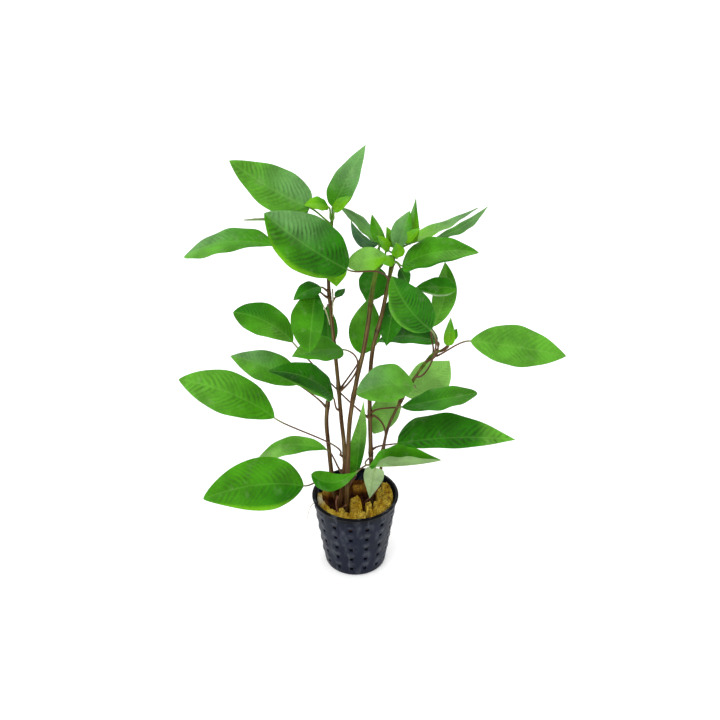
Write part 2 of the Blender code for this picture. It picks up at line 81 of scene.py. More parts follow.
# The leaves, as in the solids: stem and height that each grows from, the foot and the tip of its
# blade, its full width, its turn about its midrib and the rise of its middle. Then come its tone at
# the foot, or the two left and right of the midrib, looking from the foot to the tip, the same at
# the tip, and how strongly it is quilted. Last are its departures from the usual leaf.
# The tones are partly painted light and shade: leaves and halves turned to the light are given paler
# tones, and those turned away or lying behind others deeper ones.
LEAVES = {
    "leaf_crown_left": (
        LEFT, 239, (-24, -6, 250), (-65, -12, 279), 25.5, 10, -2, "light grey", "light", 0.9,
        {"widest": 0.37, "fullness": (0.42, 0.82), "sides": (0.95, 1.04)}),
    "leaf_crown_upright": (
        LEFT, 243, (-12, 2, 247), (6, 6, 281), 16, -15, 0, "mid", "grey", 0.6,
        {"widest": 0.32, "fullness": (0.65, 0.9)}),
    "leaf_crown_young": (
        LEFT, 242, (-14, -4, 249.5), (-27, -9, 252.5), 10, 30, 1.5, "lime mid", "lime", 0.3, {}),
    "leaf_far_left_upper": (
        LEFT, 222, (-45, 8, 221), (-97, 10, 213), 21, 40, 7, "mid", "light grey", 0.5,
        {"widest": (0.62, 0.36), "fullness": (0.7, 0.75), "sides": (1.15, 0.98)}),
    "leaf_edge_on": (LEFT, 228, (-39, 20, 232), (-64, 28, 228), 6, 88, 0, "brown", "brown", 0.3, {}),
    "leaf_big_quilted": (
        RIGHT, 206, (-4, -20, 220), (-46, -34, 259), 31.5, 5, -2, "deep", "mid grey", 1.5,
        {"widest": (0.53, 0.44), "fullness": (0.5, 0.75), "sides": (0.98, 1.06),
         "stalk_by": (7, -20, 219)}),
    "leaf_behind_quilted": (
        LEFT, 217, (-11, -4, 216), (-10, -15, 207), 13, 0, 1, "lime light", "lime", 0.5, {}),
    "leaf_small_drooping": (
        LEFT, 198, (-19, -6, 202), (-34, -16, 199), 11, 20, 2, "deep dark", "deep", 0.6, {}),
    "leaf_small_bud": (
        LEFT, 189, (-11, 3, 191), (-5.5, 9, 193.5), 5.5, -30, 0, "dark", "deep dark", 0.3, {}),
    "leaf_hanging": (
        LEFT, 194, (-22, -6, 200), (-25, -34, 176), 21, 0, 3, "deep mid", "mid", 0.6,
        {"widest": 0.52, "fullness": (0.7, 0.65), "sides": (0.66, 1.14)}),
    "leaf_hanging_back": (
        LEFT, 184, (-16, 9, 182), (-16, 17, 148), 12, 0, 1, "deep dark", "deep", 0.6, {"widest": 0.5}),
    "leaf_arched_stalk": (
        LEFT, 131, (-7, -12, 165), (-35, -30, 171), 20, 35, 2, "mid", "mid light", 0.5,
        {"stalk_by": (1.5, -11, 157)}),
    "leaf_left_middle": (
        RIGHT, 108, (-37, 10, 157), (-72, 16, 174), 21, 15, 6, "light mid", "mid deep", 0.9,
        {"widest": (0.6, 0.52), "fullness": (0.6, 0.72)}),
    "leaf_left_lower": (
        CUT, 113, (-35, 14, 125), (-77, 26, 138), 21, 15, 4, "mid", "light grey", 0.5,
        {"widest": (0.5, 0.4)}),
    "leaf_dark_left": (
        LEFT, 117, (-13, -4, 127), (-50, -16, 153), 20, 35, 6.5, "deep", "dark deep", 1.0,
        {"fullness": (0.65, 0.85)}),
    "leaf_far_left_lower": (
        LEFT, 83, (-49, -2, 111), (-104, -6, 141), 26, 15, 6, "mid", "light", 0.9,
        {"widest": (0.55, 0.5), "fullness": (0.66, 0.8), "sides": (1.1, 0.98),
         "stalk_by": (-24, -2, 97)}),
    "leaf_low_left_back": (
        LEFT, 70, (-18, 4, 83), (-61, 8, 74), 12.5, 35, 9, "mid light", "pale light", 0.4,
        {"widest": (0.6, 0.4), "sides": (1.5, 0.95)}),
    "leaf_low_left_big": (
        CUT, 60, (-32, -12, 67), (-91, -34, 74), 34, 0, 7, "deep mid", "mid", 0.8,
        {"widest": 0.43, "fullness": (0.78, 0.78), "sides": (0.95, 1.0)}),
    "leaf_over_rim": (
        RIGHT, 72, (1, -15, 80), (-26.5, -20, 82), 13, 20, -9.5, "mid", "deep mid", 0.5,
        {"widest": 0.66, "fullness": (0.5, 0.5)}),
    "leaf_between_stems": (
        MIDDLE, 62, (0.5, 3, 64.5), (5.2, 4, 120), 14.5, 0, 0, "mid deep", "pale", 0.4,
        {"widest": (0.2, 0.5), "fullness": (0.6, 1.2), "sides": (1.0, 0.58)}),
    "leaf_pale_hanging": (
        RIGHT, 109, (12.5, -4, 75), (9, -12, 57), 13, 180, 0, "silver", "silver", 0.3,
        {"widest": 0.26, "fullness": (0.45, 1.0), "stalk_by": (18, 0, 92)}),
    "leaf_folded_right": (
        RIGHT, 78, (9, -20, 88.5), (51, -28, 98.5), 26, -52, -2, "mid deep", "mid", 0.4, {"fold": 66}),
    "leaf_right_big": (
        RIGHT, 84, (26, 0, 90.5), (98, -6, 97.5), 27, -38, 4, "deep", "light", 1.3,
        {"widest": (0.35, 0.48), "fullness": (0.45, 1.0), "twist": 20, "sides": (1.25, 0.6)}),
    "leaf_right_lower": (
        RIGHT, 112, (28, -2, 119), (74, 4, 125), 22, -50, 0, "deep", "mid", 0.9,
        {"widest": (0.55, 0.48), "fullness": (0.7, 0.58), "sides": (0.92, 1.08)}),
    "leaf_pale_right": (
        THIN, 131, (29, 14, 119), (59, 34, 130), 25, 0, 0, "bright", "bright", 0.5,
        {"bend": (2, 0, -3), "widest": 0.5}),
    "leaf_pale_middle": (
        THIN, 133, (35, -8, 137), (1, -24, 142), 25.5, 20, 5, "light", "light grey", 0.4,
        {"widest": (0.55, 0.45), "fullness": (0.68, 0.7), "sides": (0.92, 1.0)}),
    "leaf_pale_lower": (
        THIN, 116, (26, 18, 118.5), (11.5, 12, 89.5), 18, 0, 0, "bright pale", "bright pale", 0.3,
        {"widest": 0.5, "fullness": (0.6, 0.8)}),
    "leaf_far_right": (
        THIN, 156, (67, -4, 166), (123, -6, 157), 26, -15, 1, "light", "light", 0.5,
        {"widest": 0.45, "fullness": (0.85, 0.85), "stalk_by": (57, -7, 164)}),
    "leaf_tip_bright": (
        THIN, 158, (55, 1, 160), (55.5, 2, 178.5), 7, 0, 0, "lime", "light mid", 0.3, {"widest": 0.3}),
    "leaf_tip_side": (THIN, 156, (57, 7, 160), (60, 9, 167), 5, 0, 0, "lime mid", "mid", 0.3, {}),
    "leaf_dark_behind": (
        THIN, 149, (49, 9, 158), (13, 25, 148), 18, 40, 5, "deep dark", "deep dark", 0.9,
        {"fullness": (0.6, 0.9), "sides": (0.8, 1.3)}),
    "leaf_dark_quilted": (
        THIN, 139, (43, -16, 180), (20, -30, 221), 25, 0, -3, "deep", "mid deep", 1.4,
        {"widest": (0.5, 0.42), "fullness": (0.6, 0.8), "sides": (0.84, 0.96)}),
    "leaf_back_tall": (
        THIN, 152, (45, 2, 172), (51, 6, 212), 14, 0, 0, "light", "light mid", 0.6,
        {"bend": (3.5, 0, 0), "widest": 0.5}),
    "leaf_back_curled": (
        THIN, 151, (34, -6, 201.5), (57, -8, 202), 12, -15, 1, "deep", "deep mid", 0.6,
        {"stalk_by": (41, -6, 180), "widest": 0.6, "fullness": (0.6, 0.65)}),
    "leaf_crown_right_big": (
        RIGHT, 216, (26.5, -6, 215.5), (67, -18, 229), 22.5, -35, 5, "mid", "mid light", 0.7,
        {"widest": (0.36, 0.42), "fullness": (0.5, 0.82)}),
    "leaf_crown_right_narrow": (
        RIGHT, 226, (27, 4, 224.5), (71, 34, 233), 17, -60, -2, "lime", "grey", 0.6,
        {"widest": 0.3, "fullness": (0.5, 1.05), "sides": (1.0, 1.2)}),
    "leaf_crown_right_back": (
        RIGHT, 221, (47, 21, 220), (78, 45, 229), 13, -45, -4, "mid", "grey", 0.6,
        {"sides": (0.6, 1.0)}),
    "leaf_crown_spear": (
        RIGHT, 227, (31, -0.5, 226.5), (33.5, 0, 255), 8, 0, 0, "lime", "grey deep", 0.3,
        {"widest": 0.25, "fullness": (0.5, 1.4)}),
    "leaf_crown_grey": (
        RIGHT, 221, (23.5, -5, 224), (30, -3, 247), 14, 10, 0, "grey", "grey mid", 0.5,
        {"widest": 0.5, "sides": (1.0, 0.6)}),
    "leaf_crown_middle_spear": (
        MIDDLE, 213, (17, 1, 222), (9.5, 2, 243), 9, 0, 0, "light", "mid light", 0.3,
        {"widest": (0.5, 0.4), "sides": (1.0, 0.55)}),
    "leaf_crown_middle_left": (
        MIDDLE, 212, (13, 8, 223), (-9, 8, 245), 12, 45, 2, "light grey", "grey", 0.5,
        {"sides": (1.15, 0.8)}),
    "leaf_crown_middle_blue": (
        MIDDLE, 213, (13, -2, 226.5), (-2, -6, 242.5), 12, -45, 0, "blue", "blue", 0.3,
        {"fold": 30, "bend": (-1, 0, -3), "sides": (0.8, 0.6), "stalk_by": (11.5, 0, 220)}),
    "leaf_crown_middle_pale": (
        RIGHT, 219, (18, -7.5, 222), (-4, -11.5, 218), 14, 0, 1, "lime pale", "pale", 0.4,
        {"widest": 0.5, "fullness": (0.8, 0.6)}),
    "leaf_round_behind": (MIDDLE, 209, (14, 6, 208), (7, 12, 183), 18, 0, 0, "deep", "deep", 0.5, {}),
    "leaf_behind_stems": (LEFT, 131, (4, 12, 148), (9, 26, 179), 20, 0, 0, "mid", "light mid", 0.5, {}),
    "leaf_behind_right": (
        RIGHT, 203, (23, 6, 188), (18.5, 6.5, 156.5), 14.5, 0, 0, "deep dark", "deep", 0.6, {}),
    "leaf_small_dark": (RIGHT, 213, (26, 8, 207), (31, 12, 194), 8, 0, 0, "deep dark", "deep", 0.4, {}),
}
FRONT_SIDE, SKYWARD = Vector((0, -0.82, 0.57)), Vector((0, -0.3, 1.0))
STALK_RADIUS, STALK_LIFT, STALK_HANDLE = 0.75, 0.9, 0.27
USUAL_FOLD, USUAL_WIDEST, USUAL_FULLNESS, USUAL_SIDES = 12.0, 0.42, (0.7, 0.95), (1.0, 1.0)
FOLD_END = 0.17

# Leaf colours. Besides the leaves' own greens they hold painted light and shade: the pale, light and
# bright tones partly stand for faces lit by the lamps and the white sky, deep and dark partly for faces
# in shade, and grey is a painted sheen, the sky's reflection on glossy leaves.
TONES = {
    "pale": (0.152, 0.370, 0.055), "light": (0.087, 0.300, 0.020), "mid": (0.044, 0.222, 0.003),
    "deep": (0.018, 0.150, 0.001), "dark": (0.008, 0.080, 0.001), "grey": (0.108, 0.270, 0.072),
    "lime": (0.115, 0.350, 0.004), "blue": (0.046, 0.130, 0.052), "brown": (0.10, 0.085, 0.045),
    "silver": (0.30, 0.42, 0.22), "bright": (0.195, 0.440, 0.080),
}

# A margin of another tone: on which side of the midrib it is, and its tone. The lighter margins are
# painted highlights where the edge catches the light.
MARGINS = {
    "leaf_big_quilted": ("left", "lime"), "leaf_dark_quilted": ("left", "light"),
    "leaf_back_curled": ("right", "silver"), "leaf_dark_left": ("left", "light"),
    "leaf_crown_right_big": ("right", "deep"), "leaf_low_left_big": ("left", "lime"),
}
# Where along the blade the tip's tone begins, and how far on it is complete
TIP_TONE = (0.2, 0.6)
TIP_TONES = {"leaf_right_big": (0.66, 0.12), "leaf_crown_upright": (0.1, 0.45)}

# Young leaves at the tops of two stems, without solids of their own, in rows of the same kind
YOUNG_LOOK = ("lime", "light lime", 0.3)
YOUNG_LEAVES = {
    "young_leaf_left": (
        RIGHT, 221, (19, -5, 224), (12.5, -9, 235), 7, 20, 0, *YOUNG_LOOK, {"fold": 25}),
    "young_leaf_front": (
        RIGHT, 219, (23.5, -7.5, 221), (22.5, -12, 232), 8, 0, 1, *YOUNG_LOOK, {"fold": 20}),
    "young_leaf_right": (
        RIGHT, 222, (28, -4.5, 229), (35.5, -8, 239), 6.5, -20, 0, *YOUNG_LOOK, {"fold": 25}),
    "young_leaf_back": (
        RIGHT, 222, (21.5, -2.5, 225), (17.5, -3.5, 238), 6.5, 10, 0, *YOUNG_LOOK, {"fold": 25}),
    "young_leaf_top": (
        LEFT, 242, (-11, -3.5, 246.5), (-1.3, -7, 257), 6.5, 0, 1, *YOUNG_LOOK, {"fold": 20}),
    "young_leaf_low": (
        RIGHT, 217, (22, -6.5, 217.5), (13.5, -10.5, 219.5), 6.5, 0, 1, *YOUNG_LOOK, {"fold": 20}),
}
UNDERSIDE, RIB_PALE = np.array([(0.23, 0.34, 0.14), (0.23, 0.36, 0.13)])
UNDERSIDE_SHARE = 0.7

# Stem, stalk and wool colours
STALK_BROWN, STALK_GREEN = np.array([(0.100, 0.050, 0.024), (0.09, 0.22, 0.025)])
# The last stem colour is a painted highlight.
STEM_RED, STEM_OLIVE, STEM_YOUNG, STEM_PAINTED_HIGHLIGHT = np.array([
    (0.068, 0.026, 0.010), (0.082, 0.054, 0.012), (0.090, 0.20, 0.012), (0.25, 0.18, 0.085)])
WOOL_LIGHT, WOOL_GOLD, WOOL_WHITE, WOOL_RUST, WOOL_SHADE = np.array([
    (0.64, 0.47, 0.062), (0.44, 0.27, 0.016), (0.70, 0.64, 0.42), (0.19, 0.065, 0.008),
    (0.030, 0.007, 0.003)])

# Fine marks in the materials: veins, worn skin, streaks and scuffs
VEIN_PALE, SKIN_WORN = (0.24, 0.40, 0.10, 1), (0.30, 0.38, 0.20, 1)
STREAK_PALE, SCUFF_GREY = (0.28, 0.20, 0.09, 1), (0.085, 0.095, 0.11, 1)


def clamp(value):
    return min(1, max(0, value))


def between(a, b, share):
    """A mix of a and b with that share of b."""
    return a * (1 - share) + b * share


# Node materials. A noise's scale is in patches to the metre, so 900 makes patches of about 1 mm.

class Nodes:
    """A material's node tree, with short calls for the nodes that it uses."""

    def __init__(self, name):
        self.material = bpy.data.materials.new(name)
        self.material.use_nodes = True
        self.tree = self.material.node_tree
        self.shader = self.tree.nodes["Principled BSDF"]

    def add(self, kind, sockets=(), **settings):
        node = self.tree.nodes.new(kind)
        for key, value in settings.items():
            setattr(node, key, value)
        for key, value in dict(sockets).items():
            self.put(node.inputs[key], value)
        return node

    def put(self, socket, value):
        if isinstance(value, bpy.types.NodeSocket):
            self.tree.links.new(value, socket)
        else:
            socket.default_value = value

    def math(self, operation, a, b=0.0, c=0.0):
        node = self.add("ShaderNodeMath", operation=operation)
        for socket, value in zip(node.inputs, (a, b, c)):
            self.put(socket, value)
        return node.outputs[0]

    def span(self, value, low, high, new_low=0.0, new_high=1.0):
        sockets = {"Value": value, "From Min": low, "From Max": high,
                   "To Min": new_low, "To Max": new_high}
        return self.add("ShaderNodeMapRange", sockets, interpolation_type="SMOOTHSTEP").outputs[0]

    def mix(self, factor, a, b, blend="MIX"):
        node = self.add("ShaderNodeMix", data_type="RGBA", blend_type=blend)
        for index, value in ((0, factor), (6, a), (7, b)):
            self.put(node.inputs[index], value)
        return node.outputs[2]

    def blended(self, a, share_of_a, b):
        """Two values summed by shares that make one."""
        return self.math("ADD", self.math("MULTIPLY", a, share_of_a),
                         self.math("MULTIPLY", b, 1 - share_of_a))

    def shaded(self, colour, shade):
        grey = self.add("ShaderNodeCombineColor", {0: shade, 1: shade, 2: shade}).outputs[0]
        return self.mix(1.0, colour, grey, "MULTIPLY")

    def scaled(self, scale):
        place = self.add("ShaderNodeTexCoord").outputs["Object"]
        return self.add("ShaderNodeMapping", {"Vector": place, "Scale": scale}).outputs[0]

    def noise(self, scale, detail=3.0, stretch=(1, 1, 1)):
        sockets = {"Vector": self.scaled(stretch), "Scale": scale, "Detail": detail}
        return self.add("ShaderNodeTexNoise", sockets).outputs["Fac"]

    def bump(self, height, strength, distance, normal=None):
        sockets = {"Height": height, "Strength": strength, "Distance": distance}
        if normal:
            sockets["Normal"] = normal
        return self.add("ShaderNodeBump", sockets).outputs[0]

    def attribute(self, name, output="Color"):
        return self.add("ShaderNodeAttribute", attribute_name=name).outputs[output]

    def finish(self, **sockets):
        for key, value in sockets.items():
            self.put(self.shader.inputs[key.replace("_", " ")], value)
        return self.material


def leaf_material():
    """Leaf skin: broad and fine shade, faint lines on veins and midrib, and a net of tiny cells."""
    n = Nodes("leaf_skin")
    tint = n.attribute("tint")
    place = n.add("ShaderNodeSeparateXYZ", {0: n.attribute("veins", "Vector")})
    phase, across, under = place.outputs
    vein = n.math("PINGPONG", phase, 0.5)
    vein_line = n.math("MULTIPLY", n.span(vein, 0.0, 0.09, 1.0, 0.0), 0.08)
    rib_line = n.math("MULTIPLY", n.span(n.math("ABSOLUTE", across), 0.1, 0.5, 1.0, 0.0), 0.15)
    broad = n.noise(75.0)
    fine = n.noise(900.0, 4.0)
    shade = n.span(n.blended(broad, 0.75, fine), 0.34, 0.66, 0.74, 1.24)
    colour = n.mix(n.math("MAXIMUM", vein_line, rib_line), n.shaded(tint, shade), VEIN_PALE)
    worn = n.math("MULTIPLY", n.span(n.noise(160.0, 6.0), 0.56, 0.7), 0.10)
    colour = n.mix(worn, colour, SKIN_WORN)
    cells = n.add("ShaderNodeTexVoronoi", {"Vector": n.scaled((1, 1, 1)), "Scale": 1100.0},
                  feature="DISTANCE_TO_EDGE").outputs["Distance"]
    net = n.bump(n.span(cells, 0.0, 0.25), 0.12, 0.0001)
    ridges = n.bump(n.span(vein, 0.0, 0.16), 0.3, 0.0002, net)
    rough = n.math("ADD", n.span(fine, 0.3, 0.7, 0.42, 0.54), n.math("MULTIPLY", under, 0.2))
    return n.finish(Base_Color=colour, Roughness=rough, Normal=ridges, Specular_IOR_Level=0.08)


def stem_material():
    n = Nodes("stem_skin")
    tint = n.attribute("tint")
    streaks = n.noise(900.0, 4.0, (1, 1, 0.06))
    broad = n.noise(160.0, 3.0, (1, 1, 0.5))
    shade = n.span(n.blended(streaks, 0.6, broad), 0.35, 0.65, 0.62, 1.3)
    light_streaks = n.math("MULTIPLY", n.span(streaks, 0.58, 0.7), 0.18)
    colour = n.mix(light_streaks, n.shaded(tint, shade), STREAK_PALE)
    return n.finish(Base_Color=colour, Roughness=n.span(broad, 0.3, 0.7, 0.4, 0.6),
                    Normal=n.bump(streaks, 0.5, 0.0003), Specular_IOR_Level=0.08)


def pot_material():
    n = Nodes("pot_plastic")
    tint = n.attribute("tint")
    broad = n.noise(60.0)
    fine = n.noise(1400.0, 5.0)
    scuffs = n.span(n.noise(200.0, 7.0, (1, 1, 0.4)), 0.52, 0.7)
    shade = n.span(broad, 0.3, 0.7, 0.85, 1.15)
    colour = n.mix(n.math("MULTIPLY", scuffs, 0.45), n.shaded(tint, shade), SCUFF_GREY)
    rough = n.math("ADD", n.span(broad, 0.3, 0.7, 0.34, 0.44), n.math("MULTIPLY", scuffs, 0.2))
    return n.finish(Base_Color=colour, Roughness=rough, Normal=n.bump(fine, 0.25, 0.0001),
                    Specular_IOR_Level=0.06)


def wool_material():
    n = Nodes("mineral_wool")
    tint = n.attribute("tint")
    fine = n.noise(1500.0, 5.0)
    colour = n.shaded(tint, n.span(fine, 0.3, 0.7, 0.6, 1.35))
    return n.finish(Base_Color=colour, Roughness=0.95, Normal=n.bump(fine, 0.7, 0.0004),
                    Specular_IOR_Level=0.1)


# Meshes

def added(name, data):
    """An object with the given data, in the scene."""
    made = bpy.data.objects.new(name, data)
    bpy.context.scene.collection.objects.link(made)
    return made


def piece(name, points, faces, look, replaced, tint=None, veins=None, sharp=50):
    """A shown piece of points in millimetres, which stands for the solids named in replaced."""
    mesh = bpy.data.meshes.new(name)
    mesh.from_pydata((np.asarray(points, float) * MM).tolist(), [], faces)
    mesh.validate()
    if tint is not None:
        layer = mesh.attributes.new("tint", "FLOAT_COLOR", "POINT")
        layer.data.foreach_set("color", np.c_[tint, np.ones(len(tint))].astype(np.float32).ravel())
    if veins is not None:
        layer = mesh.attributes.new("veins", "FLOAT_VECTOR", "POINT")
        layer.data.foreach_set("vector", np.asarray(veins, np.float32).ravel())
    mesh.shade_smooth()
    mesh.set_sharp_from_angle(angle=math.radians(sharp))
    mesh.materials.append(look)
    made = added(name, mesh)
    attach(made, "root")
    if replaced:
        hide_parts(*replaced)
    return made


def ring_faces(rings, sides, start=0):
    """Faces between rings of equal length, with a cap at either end."""
    faces = []
    for i in range(rings - 1):
        low = start + i * sides
        for k in range(sides):
            m = (k + 1) % sides
            faces.append((low + k, low + m, low + sides + m, low + sides + k))
    faces.append(tuple(range(start + sides - 1, start - 1, -1)))
    faces.append(tuple(range(start + (rings - 1) * sides, start + rings * sides)))
    return faces


def tube(path, radii, sides, start=0):
    """Rings of a tube along path, carried along it without twisting, and its faces."""
    path = [Vector(p) for p in path]
    side = Vector((0, 1, 0))
    points = []
    for i, centre in enumerate(path):
        ahead = (path[min(i + 1, len(path) - 1)] - path[max(i - 1, 0)]).normalized()
        side = (side - ahead * side.dot(ahead)).normalized()
        other = ahead.cross(side)
        for k in range(sides):
            a = 2 * math.pi * k / sides
            points.append(centre + (side * math.cos(a) + other * math.sin(a)) * radii[i])
    return points, ring_faces(len(path), sides, start)


def bezier(a, b, c, d, t):
    s = 1 - t
    return a * s ** 3 + b * (3 * s * s * t) + c * (3 * s * t * t) + d * t ** 3


def smooth_route(points, z):
    """The point at height z on a smooth curve through the given points."""
    slopes = []
    for i in range(len(points)):
        a = Vector(points[max(i - 1, 0)])
        b = Vector(points[min(i + 1, len(points) - 1)])
        slopes.append((b - a) / (b.z - a.z))
    z = min(max(z, points[0][2]), points[-1][2])
    i = max(k for k in range(len(points) - 1) if points[k][2] <= z)
    a, b = Vector(points[i]), Vector(points[i + 1])
    rise = b.z - a.z
    return bezier(a, a + slopes[i] * rise / 3, b - slopes[i + 1] * rise / 3, b, (z - a.z) / rise)


def stem_radius(name, z):
    foot, top, route = STEMS[name]
    along = (z - route[0][2]) / (route[-1][2] - route[0][2])
    swelling = sum(math.exp(-((z - joint) / JOINT_LENGTH) ** 2) for joint in STEM_JOINTS[name])
    return foot + (top - foot) * along + JOINT_SWELLING * min(swelling, 1)


# Leaves

STALK_ROOTED = 1.2    # how far a stalk reaches into its stem
# A blade's mesh: the size and the fewest and most of its rows and columns, and how they crowd
# towards its ends and its margins
ROW, ROWS, COLUMN, HALF_COLUMNS = 0.5, (36, 120), 1.3, (7, 20)
END_CROWDING, MARGIN_CROWDING = 0.35, 0.85
LEAST_HALF_WIDTHS = (0.5, 0.06)    # in its lower half and its upper half
# Its veins, counted from well over zero, with those on its left shifted
VEINS_TO_A_SIDE, LEAST_PITCH, VEIN_SLANT, VEIN_CURVE = 17, 2.0, 0.55, 0.65
LEFT_SHIFT, COUNT_FROM = 0.35, 40
# The puffs between veins, and the shade painted into the furrows round them
PUFF_ROUNDNESS, PUFF_HEIGHT, FURROW_SHADE, MOST_FURROWED = 0.6, 0.42, 0.7, 1.3
# Its margin: the number of its waves, then shares of the half width
MARGIN_WAVES, WAVE_HEIGHT, MARGIN_DROOP, MARGIN_FROM, MARGIN_BLEND = 3.2, 0.05, 0.05, 0.78, 0.14
HALF_THICKNESS, MIDRIB_DEPTH = 0.2, 0.4
FOOT_RADIUS, RIB_RADIUS, RIB_FLARE, RIB_TAPER, STALK_SIDES = 0.9, 0.5, 0.15, 0.38, 10
OFF_BLADE = (0.5, 9.0, 0.0)    # a stalk's place on the map of veins


def stalk_path(stem, height, foot, arrive, stalk_by):
    """Points from inside the stem to the blade's foot."""
    route = STEMS[stem][2]
    axis = smooth_route(route, height)
    stem_way = (smooth_route(route, height + 0.5) - smooth_route(route, height - 0.5)).normalized()
    flat = (Vector(stalk_by) if stalk_by else foot) - axis
    flat.z = 0
    out = (flat - stem_way * flat.dot(stem_way)).normalized()
    start = axis + out * (stem_radius(stem, height) + GAP + STALK_RADIUS)
    outward = (out + stem_way * STALK_LIFT).normalized()
    reach = (foot - start).length
    late = foot - arrive * (reach * STALK_HANDLE)
    early = start + outward * (reach * STALK_HANDLE)
    if stalk_by:    # the curve's middle is then there
        early = (Vector(stalk_by) * 8 - start - foot) / 3 - late
    count = 6 + round(reach / 2)
    inside = start - outward * (GAP + STALK_RADIUS + STALK_ROOTED)
    return [inside] + [bezier(start, early, late, foot, i / count) for i in range(count + 1)]


def half_width(t, width, widest, fullness):
    power = math.log(0.5) / math.log(widest)
    at_foot, at_tip = fullness
    blend = np.clip(t / widest - 0.5, 0, 1)
    rounded = np.clip(np.sin(np.pi * t ** power), 0, 1)
    return width / 2 * rounded ** (at_foot + (at_tip - at_foot) * blend)


class Blade:
    """A leaf's blade as a grid, with rows from its foot to its tip and columns from left to right."""

    def __init__(self, name):
        self.name = name
        self.row = LEAVES.get(name) or YOUNG_LEAVES[name]
        foot, tip, self.width, turn, rise = self.row[2:7]
        self.foot_tones, self.tip_tones, self.quilting, self.special = self.row[7:]
        self.seed = sum(map(ord, name))
        foot, tip = Vector(foot), Vector(tip)
        self.length = (tip - foot).length
        rows = int(np.clip(self.length / ROW, *ROWS))
        half_columns = int(np.clip(self.width / COLUMN, *HALF_COLUMNS))
        steps = np.linspace(0, 1, rows + 1)
        self.t = between(steps, (1 - np.cos(np.pi * steps)) / 2, END_CROWDING)
        v = np.linspace(-1, 1, 2 * half_columns + 1)
        self.v = np.sign(v) * np.abs(v) ** MARGIN_CROWDING
        self.half = self.half_widths()
        self.set_midrib(foot, tip, turn, rise)

    def half_widths(self):
        """Half the width on the side of each point of the grid."""
        widest = self.special.get("widest", USUAL_WIDEST)
        widest = widest if isinstance(widest, tuple) else (widest, widest)
        fullness = self.special.get("fullness", USUAL_FULLNESS)
        sides = self.special.get("sides", USUAL_SIDES)
        left, right = (half_width(self.t, self.width * share, place, fullness)
                       for share, place in zip(sides, widest))
        least = np.where(self.t < 0.5, *LEAST_HALF_WIDTHS)
        return np.where(self.v[None, :] < 0, np.maximum(left, least)[:, None],
                        np.maximum(right, least)[:, None])

    def set_midrib(self, foot, tip, turn, rise):
        """The midrib's points, and at each of them the ways across the blade and out of its face."""
        along = (tip - foot).normalized()
        face = (FRONT_SIDE - along * FRONT_SIDE.dot(along)).normalized()
        face = Quaternion(along, math.radians(turn)) @ face
        up = (SKYWARD - along * SKYWARD.dot(along)).normalized()
        away = up * rise + Vector(self.special.get("bend", (0, 0, 0)))
        self.middle = np.array([foot.lerp(tip, s) + away * (4 * s * (1 - s)) for s in self.t])
        ahead = np.gradient(self.middle, self.t, axis=0)
        ahead /= np.linalg.norm(ahead, axis=1)[:, None]
        twist = math.radians(self.special.get("twist", 0))
        faces = np.array([Quaternion(Vector(a), twist * s) @ face for a, s in zip(ahead, self.t)])
        self.side = np.cross(ahead, faces)
        self.side /= np.linalg.norm(self.side, axis=1)[:, None]
        self.facing = np.cross(self.side, ahead)

    def quilt(self):
        """Which vein each point is at, counted along the blade, and how puffed up it is between two."""
        s = (self.t * self.length)[:, None]
        x = self.half * np.abs(self.v)
        pitch = max(self.length / VEINS_TO_A_SIDE, LEAST_PITCH)
        stagger = np.where(self.v < 0, LEFT_SHIFT, 0.0)[None, :]
        wander = 0.16 * np.sin(0.21 * s + self.seed)
        wander = wander + 0.09 * np.sin(0.7 * s + 2 * self.seed + self.v * 2)
        phase = (s - VEIN_SLANT * x - VEIN_CURVE * x * x / (self.width / 2)) / pitch
        phase = phase + stagger + wander + COUNT_FROM
        puff = np.abs(np.sin(np.pi * phase)) ** PUFF_ROUNDNESS
        patchy = 0.68 + 0.32 * np.sin(0.27 * s + 0.31 * x * np.sign(self.v) + 3 * self.seed)
        inner = np.clip(x / 1.6, 0, 1) * (1 - np.abs(self.v) ** 4) * np.clip(self.half / 4, 0, 1)
        return phase, puff, inner * patchy

    def surface(self, puff, inner):
        """The grid's points, folded along the midrib, with a wavy margin and puffed between veins."""
        a = np.abs(self.v)[None, :]
        fold = math.radians(self.special.get("fold", USUAL_FOLD))
        fold = fold * np.minimum(1, self.t / FOLD_END)[:, None]
        wave = np.sin(2 * np.pi * (MARGIN_WAVES * self.t[:, None] + 0.13 * self.seed)
                      + np.sign(self.v)[None, :])
        lift = self.half * (np.sin(fold) * a ** 1.25 - MARGIN_DROOP * a ** 4
                            + WAVE_HEIGHT * a ** 3 * wave)
        lift = lift + self.quilting * PUFF_HEIGHT * puff * inner
        spread = self.half * self.v * np.cos(fold)
        points = (self.middle[:, None] + self.side[:, None] * spread[..., None]
                  + self.facing[:, None] * lift[..., None])
        return points, spread

    def tint(self, puff, inner):
        """The colour of each point of the grid, with painted shade in the furrows and painted
        highlights on lit margins.
        """
        rightwards = np.clip(0.5 + 1.6 * self.v, 0, 1)[None, :, None]
        begin, reach = TIP_TONES.get(self.name, TIP_TONE)
        towards_tip = np.clip((self.t - begin) / reach, 0, 1)
        towards_tip = (towards_tip ** 2 * (3 - 2 * towards_tip))[:, None, None]
        ends = []
        for tones in (self.foot_tones, self.tip_tones):
            left, right = (np.array(TONES[tone]) for tone in (tones.split() * 2)[:2])
            ends.append(between(left, right, rightwards))
        tint = between(*ends, towards_tip)
        if self.name in MARGINS:
            side, tone = MARGINS[self.name]
            outwards = self.v if side == "right" else -self.v
            share = np.clip((outwards - MARGIN_FROM) / MARGIN_BLEND, 0, 1)[None, :, None]
            share = share * np.clip(4 * self.t * (1 - self.t), 0, 1)[:, None, None]
            tint = between(tint, np.array(TONES[tone]), share)
